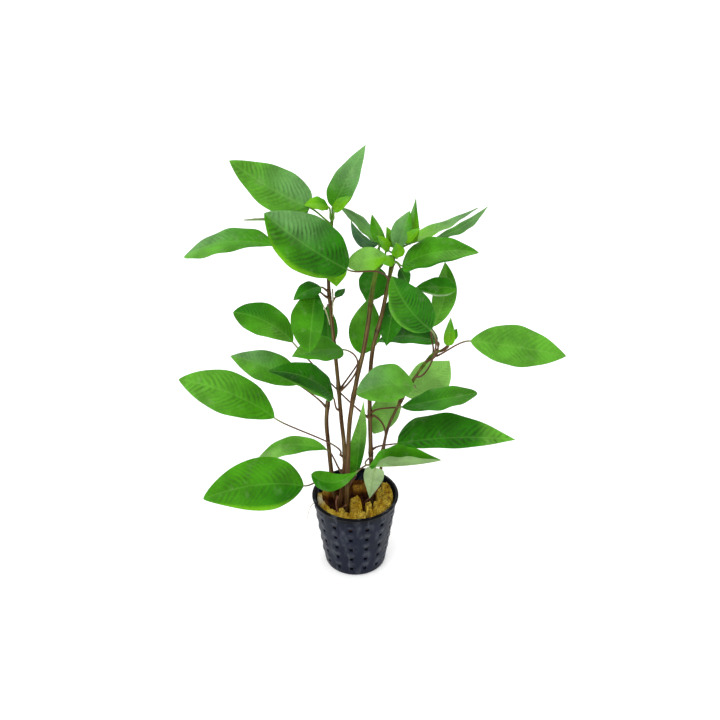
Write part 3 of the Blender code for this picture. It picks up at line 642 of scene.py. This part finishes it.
        # painted shade in the furrows between the puffs
        furrow = (1 - puff) * inner * min(self.quilting, MOST_FURROWED)
        return tint * (1 - FURROW_SHADE * furrow)[..., None]


def grid_faces(rows, columns, start, turned):
    faces = []
    for i in range(rows - 1):
        for j in range(columns - 1):
            a = start + i * columns + j
            quad = (a, a + 1, a + columns + 1, a + columns)
            faces.append(quad[::-1] if turned else quad)
    return faces


def rim_faces(rows, columns):
    """Faces all round between an upper grid and the lower grid that follows it."""
    count = rows * columns
    faces = []
    for i in range(rows - 1):
        for j, turned in ((0, False), (columns - 1, True)):
            a, b = i * columns + j, (i + 1) * columns + j
            quad = (a, b, b + count, a + count)
            faces.append(quad[::-1] if turned else quad)
    for i, turned in ((0, True), (rows - 1, False)):
        for j in range(columns - 1):
            a = i * columns + j
            quad = (a, a + 1, a + 1 + count, a + count)
            faces.append(quad[::-1] if turned else quad)
    return faces


def build_leaf(name, look):
    blade = Blade(name)
    phase, puff, inner = blade.quilt()
    surface, spread = blade.surface(puff, inner)
    tint = blade.tint(puff, inner)
    thick = HALF_THICKNESS * np.clip(1 - np.abs(blade.v) ** 8, 0.25, 1)[None, :, None]
    thick = thick * blade.facing[:, None]
    rows, columns = spread.shape
    points = np.stack([surface + thick, surface - thick]).reshape(-1, 3)
    colours = np.stack([tint, between(tint, UNDERSIDE, UNDERSIDE_SHARE)]).reshape(-1, 3)
    maps = np.stack([np.stack([phase, spread, np.full_like(phase, under)], axis=-1)
                     for under in (0, 1)]).reshape(-1, 3)
    count = rows * columns
    faces = grid_faces(rows, columns, 0, False) + grid_faces(rows, columns, count, True)
    faces += rim_faces(rows, columns)
    stalk_points, stalk_faces, stalk_tint = stalk_and_midrib(name, blade, len(points))
    points = np.concatenate([points, np.array(stalk_points)])
    colours = np.concatenate([colours, stalk_tint])
    maps = np.concatenate([maps, np.tile(OFF_BLADE, (len(stalk_points), 1))])
    replaced = [name] if name in LEAVES else []
    return piece(name, points, faces + stalk_faces, look, replaced, colours, maps, sharp=80)


def stalk_and_midrib(name, blade, start):
    """A tube that is the leaf's stalk and then runs on under its blade as the midrib."""
    stem, height, foot = blade.row[:3]
    arrive = Vector(blade.middle[1] - blade.middle[0]).normalized()
    path = stalk_path(stem, height, Vector(foot), arrive, blade.special.get("stalk_by"))
    stalk_length = len(path)
    path += [Vector(m) - Vector(f) * MIDRIB_DEPTH
             for m, f in zip(blade.middle[2::3], blade.facing[2::3])]
    rib_length = len(path) - stalk_length
    radii = [FOOT_RADIUS, STALK_RADIUS]
    radii += [RIB_RADIUS + RIB_FLARE * math.exp(-i / 3) for i in range(stalk_length - 2)]
    radii += [RIB_RADIUS - RIB_TAPER * (i + 1) / rib_length for i in range(rib_length)]
    points, faces = tube(path, radii, STALK_SIDES, start)
    share = np.clip(np.arange(len(path)) / stalk_length * 3 - 2.3, 0, 1)
    share = np.repeat(share, STALK_SIDES)[:, None]
    foot_colour = STALK_GREEN if "crown" in name or "young" in name else STALK_BROWN
    return points, faces, between(foot_colour, RIB_PALE, share)


# Stems

PAINTED_HIGHLIGHT_AT = math.radians(255)    # where round a stem its painted highlight runs, on its front a little to the left
STEM_SLIMNESS = 0.93             # against the solid, whose flat sides lie within its radius
STEM_SIDES, STEM_STEP = 18, 1.1
TOP_ROUNDING, FRESH_LENGTH = 2.2, 45    # the lengths at a stem's top that are rounded and young
GROOVE_DEPTH, GROOVE_AT, GROOVE_WIDTH = 0.18, 0.9, 0.5    # the two grooves beside each joint
RIDGE_HEIGHT, KNOB_HEIGHT = 0.06, 0.1
JOINT_SHADE, JOINT_SHADE_REACH = 0.45, 1.3


def stem_ring(name, z):
    """One ring of a stem with its ridges and joint grooves, and the colours round it, with a painted
    highlight down its front.
    """
    route = STEMS[name][2]
    high = route[-1][2]
    centre = smooth_route(route, z)
    ahead = (smooth_route(route, z + 1) - smooth_route(route, z - 1)).normalized()
    across = Vector((0, 1, 0)).cross(ahead).normalized()
    back = ahead.cross(across).normalized()
    nearest = min(abs(z - joint) for joint in STEM_JOINTS[name])
    radius = STEM_SLIMNESS * stem_radius(name, z)
    radius -= GROOVE_DEPTH * math.exp(-((nearest - GROOVE_AT) / GROOVE_WIDTH) ** 2)
    cut = name == CUT
    top = max(0, z - high + TOP_ROUNDING) / TOP_ROUNDING
    end = 1.0 if cut else math.sqrt(max(0.02, 1 - top * top))
    fresh = 0 if cut else clamp((z - high + FRESH_LENGTH) / FRESH_LENGTH) ** 2
    points, colours = [], []
    for k in range(STEM_SIDES):
        a = 2 * math.pi * k / STEM_SIDES
        knobbly = noise.noise(Vector((math.cos(a) * 2, math.sin(a) * 2, z * 0.12 + len(name))))
        patch = noise.noise(Vector((math.cos(a), math.sin(a), z * 0.05 + 7 * len(name))))
        r = (radius + RIDGE_HEIGHT * math.cos(4 * a) + KNOB_HEIGHT * knobbly) * end
        points.append(centre + (across * math.cos(a) + back * math.sin(a)) * r)
        colour = between(STEM_RED, STEM_OLIVE, clamp(0.35 + 1.1 * patch + (z - 46) / 400))
        # a painted highlight: a narrow lighter band on the side that faces the front
        painted_highlight = 0.5 * max(0, math.cos(a - PAINTED_HIGHLIGHT_AT)) ** 10 * max(0, 0.6 + 1.5 * patch)
        colour = between(between(colour, STEM_PAINTED_HIGHLIGHT, painted_highlight), STEM_YOUNG, fresh)
        colours.append(colour * (1 - JOINT_SHADE * math.exp(-(nearest / JOINT_SHADE_REACH) ** 2)))
    return points, colours


def build_stem(name, look):
    route = STEMS[name][2]
    low, high = route[0][2], route[-1][2]
    count = int((high - low) / STEM_STEP)
    points, colours = [], []
    for i in range(count + 1):
        ring, tones = stem_ring(name, low + (high - low) * i / count)
        points += ring
        colours += tones
    faces = ring_faces(count + 1, STEM_SIDES)
    return piece(name, points, faces, look, [name], np.array(colours))


# Pot

# The third plastic colour is a near-black painted shade for the rim, the fourth a painted highlight for
# the bars.
PLASTIC, PLASTIC_BAND, RIM_PAINTED_SHADE, PLASTIC_BAR_HIGHLIGHT = np.array([
    (0.0085, 0.0110, 0.022), (0.0070, 0.0090, 0.018), (0.0015, 0.0018, 0.0030), (0.075, 0.082, 0.095)])
# The raised bars between the holes, the last of them above the last row
BAR_HEIGHT, BAR_HALF_LENGTH, BAR_HALF_WIDTH = 0.5, 2.0, 1.7
BARS_FROM, BARS_TO, LAST_BAR_RISE = 3, 46, 4.2
BAND_FROM, BAND_LEVELS = 44, [43.8, 44.6, 45.4, 46.2, 47.4, 49.2]
COLUMN_STEPS, ROW_STEPS = 7, 6    # from hole to hole


def wall_radius(z):
    return BASE_RADIUS + (WALL_TOP_RADIUS - BASE_RADIUS) * z / (POT_HEIGHT - LIP_HEIGHT)


def bar_share(across, z):
    """One on the raised bars between the holes of a column, and nothing away from them."""
    if z < BARS_FROM or z > BARS_TO:
        return 0.0
    bars = [(a + b) / 2 for a, b in zip(HOLE_ROWS, HOLE_ROWS[1:])] + [HOLE_ROWS[-1] + LAST_BAR_RISE]
    near = min(abs(z - bar) for bar in bars)
    return math.exp(-(across / BAR_HALF_LENGTH) ** 4) * math.exp(-(near / BAR_HALF_WIDTH) ** 4)


def pot_levels():
    """Heights of the wall's rings: three at each row of holes and five between two rows."""
    levels = []
    for row, z in enumerate(HOLE_ROWS):
        levels += [z - HOLE_SIZE / 2, z, z + HOLE_SIZE / 2]
        if row < len(HOLE_ROWS) - 1:
            gap = HOLE_ROWS[row + 1] - z - HOLE_SIZE
            levels += [z + HOLE_SIZE / 2 + gap * i / ROW_STEPS for i in range(1, ROW_STEPS)]
    return levels


def pot_profile(levels):
    """Radius and height of each ring, up the outside and down the inside."""
    lip = POT_HEIGHT - LIP_HEIGHT
    outer = [(BASE_RADIUS - BASE_ROUNDING, 0.0), (BASE_RADIUS - 0.7, 0.25), (BASE_RADIUS - 0.1, 0.8)]
    outer += [(wall_radius(z), z) for z in (BASE_ROUNDING, 3.4)]
    first = len(outer)
    outer += [(wall_radius(z), z) for z in levels + BAND_LEVELS]
    outer += [(wall_radius(lip) + 0.1, lip - 0.3), (RIM_RADIUS - 0.3, lip + 0.2),
              (RIM_RADIUS, lip + 0.6), (RIM_RADIUS, POT_HEIGHT - 0.6),
              (RIM_RADIUS - 0.2, POT_HEIGHT - 0.2), (RIM_RADIUS - 0.5, POT_HEIGHT)]
    inner = [(wall_radius(POT_HEIGHT) - WALL + 0.3, POT_HEIGHT)]
    inner += [(wall_radius(z) - WALL, z) for z in (51.7, 48)]
    inner += [(wall_radius(z) - WALL, z) for z in reversed(levels)]
    inner += [(wall_radius(FLOOR) - WALL - 0.8, FLOOR)]
    return outer, inner, first


def build_pot(look):
    """A grid round the wall, inside and out, with the holes left out of it and lined."""
    half = math.degrees(HOLE_SIZE / 2 / wall_radius(POT_HEIGHT / 2))
    pitch = 360 / HOLE_COLUMNS
    offsets = [-half, -half / 3, half / 3, half]
    offsets += [half + (pitch - 2 * half) * i / COLUMN_STEPS for i in range(1, COLUMN_STEPS)]
    per = len(offsets)
    angles = [(HOLE_TURN + pitch * c + o, o if o <= pitch / 2 else o - pitch)
              for c in range(HOLE_COLUMNS) for o in offsets]
    sides = len(angles)
    levels = pot_levels()
    outer, inner, first = pot_profile(levels)
    points, colours = [], []
    for index, (radius, z) in enumerate(outer + inner):
        for angle, offset in angles:
            bar = bar_share(math.radians(offset) * radius, z) if index < len(outer) else 0
            r, a = radius + BAR_HEIGHT * bar, math.radians(angle)
            points.append((r * math.cos(a), r * math.sin(a), z))
            plain = PLASTIC_BAND if z > BAND_FROM and index < len(outer) else PLASTIC
            # the rim's top, outside and inside, is painted near-black: painted shade along the rim
            if z > POT_HEIGHT - 2 * LIP_HEIGHT:
                plain = RIM_PAINTED_SHADE
            # a painted highlight on the bars' crests, in noisy patches and strongest at the pot's left
            # and right sides
            worn = bar * (0.5 + 0.5 * abs(math.cos(a)))
            worn *= max(0, 0.5 + noise.noise(Vector((angle * 0.1, z * 0.4, 2.0))))
            colours.append(between(plain, PLASTIC_BAR_HIGHLIGHT, worn))
    rings = len(outer) + len(inner)
    gone, linings = pot_holes(levels, first, rings - 2, sides, per)
    faces = [f for f in ring_faces(rings, sides) if frozenset(f) not in gone] + linings
    return piece("net_pot", points, faces, look, ["net_pot"], np.array(colours), sharp=35)


def pot_holes(levels, first, last_inner, sides, per):
    """The faces to leave out for the holes, and the faces that line the holes."""
    gone, linings = set(), []
    edge = [(0, 0), (0, 1), (0, 2), (0, 3), (1, 3), (2, 3), (2, 2), (2, 1), (2, 0), (1, 0)]
    for z in HOLE_ROWS:
        k = levels.index(z) - 1
        walls = ((first + k, 1), (last_inner - k, -1))
        for i in range(0, sides, per):
            for ring, step in walls:
                for d, o in ((0, 0), (0, 1), (0, 2), (1, 0), (1, 1), (1, 2)):
                    a = (ring + step * d) * sides + i + o
                    b = a + step * sides
                    gone.add(frozenset((a, a + 1, b + 1, b)))
            out, back = ([(ring + step * d) * sides + i + o for d, o in edge] for ring, step in walls)
            for e in range(len(edge)):
                f = (e + 1) % len(edge)
                linings.append((out[e], out[f], back[f], back[e]))
    return gone, linings


# Mineral wool: the middle, half sizes, turn and top of each of its chunks
WOOL_CHUNKS = (
    (18.5, 4, 5.5, 10, 12, 50.6), (18.5, -8, 6.0, 6, 30, 49.4), (0.6, -8, 3.6, 7.5, 6, 49.8),
    (1.2, -18.5, 5.5, 5, 0, 48.6), (8.7, -12, 1.7, 5, 12, 50.4), (13, -15.5, 5.0, 4.5, 30, 48.8),
    (-21, -8, 3.2, 6.5, 25, 48.4), (-14.5, -16, 3.0, 7, 62, 48.6), (-6.5, -19, 3.2, 5, 85, 48.8),
    (-23.3, 0.5, 2.0, 3.5, 0, 49.6), (-8.4, -12.5, 1.6, 2.4, 20, 48.0), (-19, 12, 5, 6, 35, 45.0),
    (3, 14, 5, 4, 10, 45.2),
)
WOOL_LOW, WOOL_LOW_AT_WALL, WALL_SLOPE_FROM = 42.0, 44.3, 17.0
WOOL_SIDES, WOOL_RINGS, WOOL_LOW_RINGS_AT = 220, 64, (38, 30, 15, FLOOR + GAP)
WOOL_INSET, WOOL_LOW_INSET, FIBRE_INSET = 0.5, 0.6, 0.9    # from the pot's wall
WOOL_EDGE_FROM, WOOL_EDGE_DROP = 0.93, 1.2
# near-black painted shade for the wool's sides down inside the pot
WOOL_INSIDE_SHADE = np.array([0.016, 0.012, 0.008])


def chunk_share(x, y, chunk):
    """One inside a chunk and nothing outside it, with a narrow slope between."""
    middle_x, middle_y, half_x, half_y, turn, _ = chunk
    a = math.radians(turn)
    u = (x - middle_x) * math.cos(a) + (y - middle_y) * math.sin(a)
    v = (y - middle_y) * math.cos(a) - (x - middle_x) * math.sin(a)
    distance = ((u / half_x) ** 4 + (v / half_y) ** 4) ** 0.25
    distance += 0.3 * noise.noise(Vector((x * 0.35, y * 0.35, 1.0)))
    share = clamp((1.16 - distance) / 0.32)
    return share * share * (3 - 2 * share)


def wool_height(x, y):
    base = WOOL_LOW + 1.6 * noise.fractal(Vector((x * 0.12, y * 0.12, 5.0)), 0.9, 2.0, 3)
    edge = clamp((math.hypot(x, y) - WALL_SLOPE_FROM) / 5)
    base += (WOOL_LOW_AT_WALL - base) * edge
    z = max(base + (chunk[5] - base) * chunk_share(x, y, chunk) for chunk in WOOL_CHUNKS)
    ragged = noise.fractal(Vector((x * 0.9, y * 0.5, 7.0)), 0.7, 2.0, 3)
    return z + 0.9 * noise.fractal(Vector((x * 0.3, y * 0.18, 3.0)), 0.8, 2.0, 4) + 0.45 * ragged


def wool_colour(x, y, z):
    """Gold to light in patches, rusty in spots, bleached at the left, and darker lower down."""
    patch = clamp(0.5 + 1.4 * noise.noise(Vector((x * 0.22, y * 0.14, 9.0))))
    rusty = min(0.7, max(0, 1.5 * noise.noise(Vector((x * 0.5, y * 0.35, 4.0))) - 0.1))
    bleached = math.exp(-((x + 22) ** 2 + (y + 3) ** 2) / 12)
    bright = between(between(WOOL_GOLD, WOOL_LIGHT, patch), WOOL_RUST, rusty)
    bright = between(bright, WOOL_WHITE, bleached)
    low, high = (clamp((z - start) / 3.0) for start in (42.2, 44.8))
    return between(between(WOOL_SHADE, WOOL_RUST, low), bright, high)


def build_wool(look):
    points, colours = [], []
    radius = wall_radius(WOOL_TOP) - WALL - WOOL_INSET
    for i in range(WOOL_RINGS + 1):
        r = max(radius * i / WOOL_RINGS, 0.05)
        for k in range(WOOL_SIDES):
            a = 2 * math.pi * k / WOOL_SIDES
            x, y = r * math.cos(a), r * math.sin(a)
            edge = max(0, (r / radius - WOOL_EDGE_FROM) / (1 - WOOL_EDGE_FROM))
            z = wool_height(x, y) - WOOL_EDGE_DROP * edge ** 2
            points.append((x, y, z))
            colours.append(wool_colour(x, y, z))
    for z in WOOL_LOW_RINGS_AT:
        for k in range(WOOL_SIDES):
            a = 2 * math.pi * k / WOOL_SIDES
            r = wall_radius(z) - WALL - WOOL_LOW_INSET
            points.append((r * math.cos(a), r * math.sin(a), z))
            # painted shade: the wool down inside the pot is made near-black
            colours.append(WOOL_INSIDE_SHADE)
    rings = WOOL_RINGS + 1 + len(WOOL_LOW_RINGS_AT)
    faces = [f[::-1] for f in ring_faces(rings, WOOL_SIDES)]
    return piece("mineral_wool", points, faces, look, ["mineral_wool"], np.array(colours),
                 sharp=180)


# Loose fibres, of which the aligned ones run from back to front
FIBRES, FIBRE_SEED, FIBRE_STEPS = 3600, 11, 7
ALIGNED, STRAYING, WANDERING = 0.75, 0.45, 0.2
FIBRE_LENGTHS, FIBRE_RADII, FIBRE_GLOWS = (2.5, 8), (0.07, 0.18), (0.65, 1.4)
FIBRE_ARCHES, FIBRE_LIFTS = (0.0, 0.6), (0.0, 0.25)


def build_fibres(look):
    """Loose fibres over the wool, each a fine three-sided tube that drapes over the chunks."""
    draw = random.Random(FIBRE_SEED)
    points, faces, colours = [], [], []
    limit = wall_radius(WOOL_TOP) - WALL - FIBRE_INSET
    for _ in range(FIBRES):
        r, a = limit * math.sqrt(draw.random()), draw.uniform(0, 2 * math.pi)
        x, y = r * math.cos(a), r * math.sin(a)
        aligned = draw.random() < ALIGNED
        heading = draw.gauss(-math.pi / 2, STRAYING) if aligned else draw.uniform(0, 2 * math.pi)
        step = draw.uniform(*FIBRE_LENGTHS) / FIBRE_STEPS
        arch, lift = draw.uniform(*FIBRE_ARCHES), draw.uniform(*FIBRE_LIFTS)
        path = []
        for i in range(FIBRE_STEPS + 1):
            if math.hypot(x, y) > limit:
                break
            rise = arch * math.sin(math.pi * i / FIBRE_STEPS)
            path.append((x, y, wool_height(x, y) + lift + rise))
            heading += draw.gauss(0, WANDERING)
            x += math.cos(heading) * step
            y += math.sin(heading) * step
        if len(path) < 4:
            continue
        part, part_faces = tube(path, [draw.uniform(*FIBRE_RADII)] * len(path), 3, len(points))
        points += part
        faces += part_faces
        glow = draw.uniform(*FIBRE_GLOWS)
        colours += [wool_colour(p.x, p.y, p.z) * glow for p in part]
    return piece("wool_fibres", points, faces, look, [], np.array(colours), sharp=180)


# Small growths: route, radius at its two ends and colour
ROOT_PALE, ROOT_RED, SHEATH_PALE = (0.55, 0.50, 0.40), (0.16, 0.065, 0.035), (0.42, 0.40, 0.25)
GROWTHS = {
    "root_over_rim": ((-24, -7, 49), (-27.6, -8.5, 52.6), (-29.6, -9.5, 46), (-31, -10, 36),
                      0.35, 0.15, ROOT_PALE),
    "root_left": ((-11, -1, 50), (-13, -6, 49.5), (-12, -10, 46), (-10, -12, 44), 0.7, 0.3, ROOT_RED),
    "root_middle": ((-5, -9, 50), (-7, -11, 50), (-9, -8, 46), (-11, -8, 43), 0.6, 0.3, ROOT_RED),
    "root_right": ((11, 3, 50), (9, -2, 49), (8, 0, 46), (6, 3, 42), 0.7, 0.3, ROOT_RED),
    "root_thin": ((16, 7, 52), (12, 2, 50), (10, 0, 47), (9, 3, 43), 0.5, 0.25, ROOT_RED),
    "sheath_front": ((-25, -6.5, 199), (-20, -5.5, 196), (-16, -4, 188), (-14.5, -2.5, 176),
                     0.55, 0.25, SHEATH_PALE),
    "sheath_side": ((-12.6, -2.2, 199), (-12.2, -2.8, 194), (-12.4, -2.6, 188), (-12.6, -1.8, 181),
                    0.5, 0.2, SHEATH_PALE),
}
GROWTH_STEPS, GROWTH_SIDES = 24, 8


def build_growth(name, look):
    *route, foot, tip, colour = GROWTHS[name]
    route = [Vector(point) for point in route]
    path = [bezier(*route, i / GROWTH_STEPS) for i in range(GROWTH_STEPS + 1)]
    radii = [foot + (tip - foot) * i / GROWTH_STEPS for i in range(GROWTH_STEPS + 1)]
    points, faces = tube(path, radii, GROWTH_SIDES)
    return piece(name, points, faces, look, [], np.tile(colour, (len(points), 1)), sharp=80)


# Camera, floor and light, in metres and watts

LENS, CAMERA_PLACE, CAMERA_TILT = 54.6, (0.003, -0.5516, 0.483), 31.06
FLOOR_REACH = 9
FLOOR_GLOW = 0.12    # a floor lit a little from below
WORLD_STRENGTH, LIT_POINT = 1.12, (0, 0, 0.15)
# The lights: place, diameter and power
LIGHTS = {"key_light": ((-0.45, -0.65, 1.15), 0.9, 6), "back_light": ((0.2, 0.9, 1.0), 0.8, 3)}


def build_camera():
    data = bpy.data.cameras.new("camera")
    data.lens, data.sensor_width = LENS, 36
    data.clip_start, data.clip_end = 0.01, 20
    camera = added("camera", data)
    camera.location = CAMERA_PLACE
    camera.rotation_euler = (math.radians(90 - CAMERA_TILT), 0, 0)
    bpy.context.scene.camera = camera


def build_floor():
    mesh = bpy.data.meshes.new("floor")
    r = FLOOR_REACH
    mesh.from_pydata([(-r, -r, 0), (r, -r, 0), (r, r, 0), (-r, r, 0)], [], [(0, 1, 2, 3)])
    n = Nodes("floor_paper")
    mesh.materials.append(n.finish(Base_Color=(0.96, 0.96, 0.96, 1), Roughness=0.9,
                                   Emission_Color=(1, 1, 1, 1), Emission_Strength=FLOOR_GLOW))
    floor = added("floor", mesh)


def build_lights():
    world = bpy.data.worlds.new("studio")
    world.use_nodes = True
    background = world.node_tree.nodes["Background"]
    background.inputs[0].default_value = (1, 1, 1, 1)
    background.inputs[1].default_value = WORLD_STRENGTH
    bpy.context.scene.world = world
    for name, (place, size, power) in LIGHTS.items():
        data = bpy.data.lights.new(name, "AREA")
        data.shape, data.size, data.energy = "DISK", size, power
        light = added(name, data)
        light.location = place
        light.rotation_euler = (Vector(LIT_POINT) - Vector(place)).to_track_quat("-Z", "Y").to_euler()


def main():
    leaf_skin, stem_skin, wool = leaf_material(), stem_material(), wool_material()
    build_camera()
    build_floor()
    build_lights()
    build_pot(pot_material())
    build_wool(wool)
    build_fibres(wool)
    for name in STEMS:
        build_stem(name, stem_skin)
    for name in list(LEAVES) + list(YOUNG_LEAVES):
        build_leaf(name, leaf_skin)
    for name in GROWTHS:
        build_growth(name, stem_skin)
    bpy.context.scene.view_settings.view_transform = "Standard"


main()
